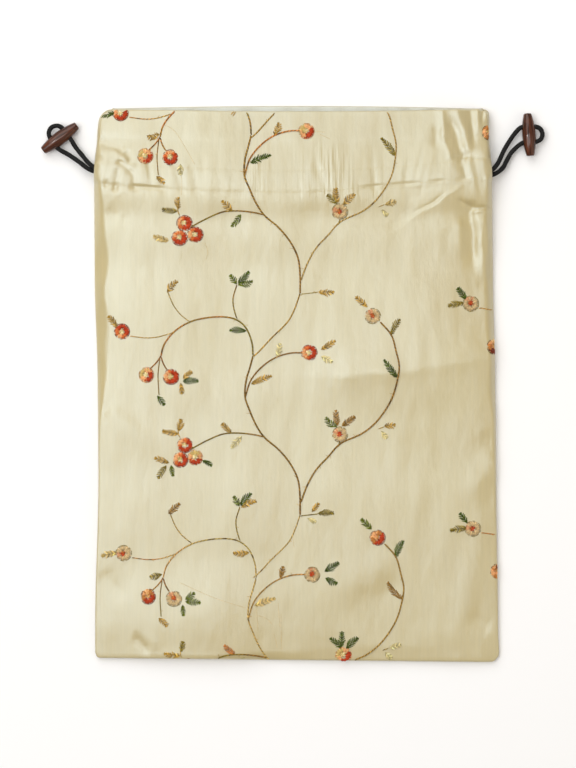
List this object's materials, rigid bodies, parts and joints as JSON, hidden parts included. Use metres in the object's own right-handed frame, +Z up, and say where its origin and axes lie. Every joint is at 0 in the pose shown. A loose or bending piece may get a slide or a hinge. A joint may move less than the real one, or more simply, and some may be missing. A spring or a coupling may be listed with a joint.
{
  "type": "travel pouch",
  "caption": "Flat embroidered silk pouch lying on its back, with a cord channel under its mouth and a drawcord with a wooden toggle out of each side, to hold clothes in a case.",
  "frame": {"origin": "centre of the pouch's underside, on the surface that it lies on", "axes": "+X across the pouch to the viewer's right, +Y along it to its mouth, +Z up off the surface, out of the embroidered front"},
  "size_m": [0.3207, 0.3542, 0.016],
  "materials": {
    "silk": "pale champagne plain-woven silk with a soft sheen, embroidered on the front",
    "cord": "black round braided cord",
    "wood": "dark brown turned wood, polished"
  },
  "bodies": {
    "root": {"front_panel": "silk", "back_panel": "silk", "drawcord_left": "cord", "drawcord_right": "cord", "toggle_left": "wood", "toggle_right": "wood"}
  },
  "joints": []
}
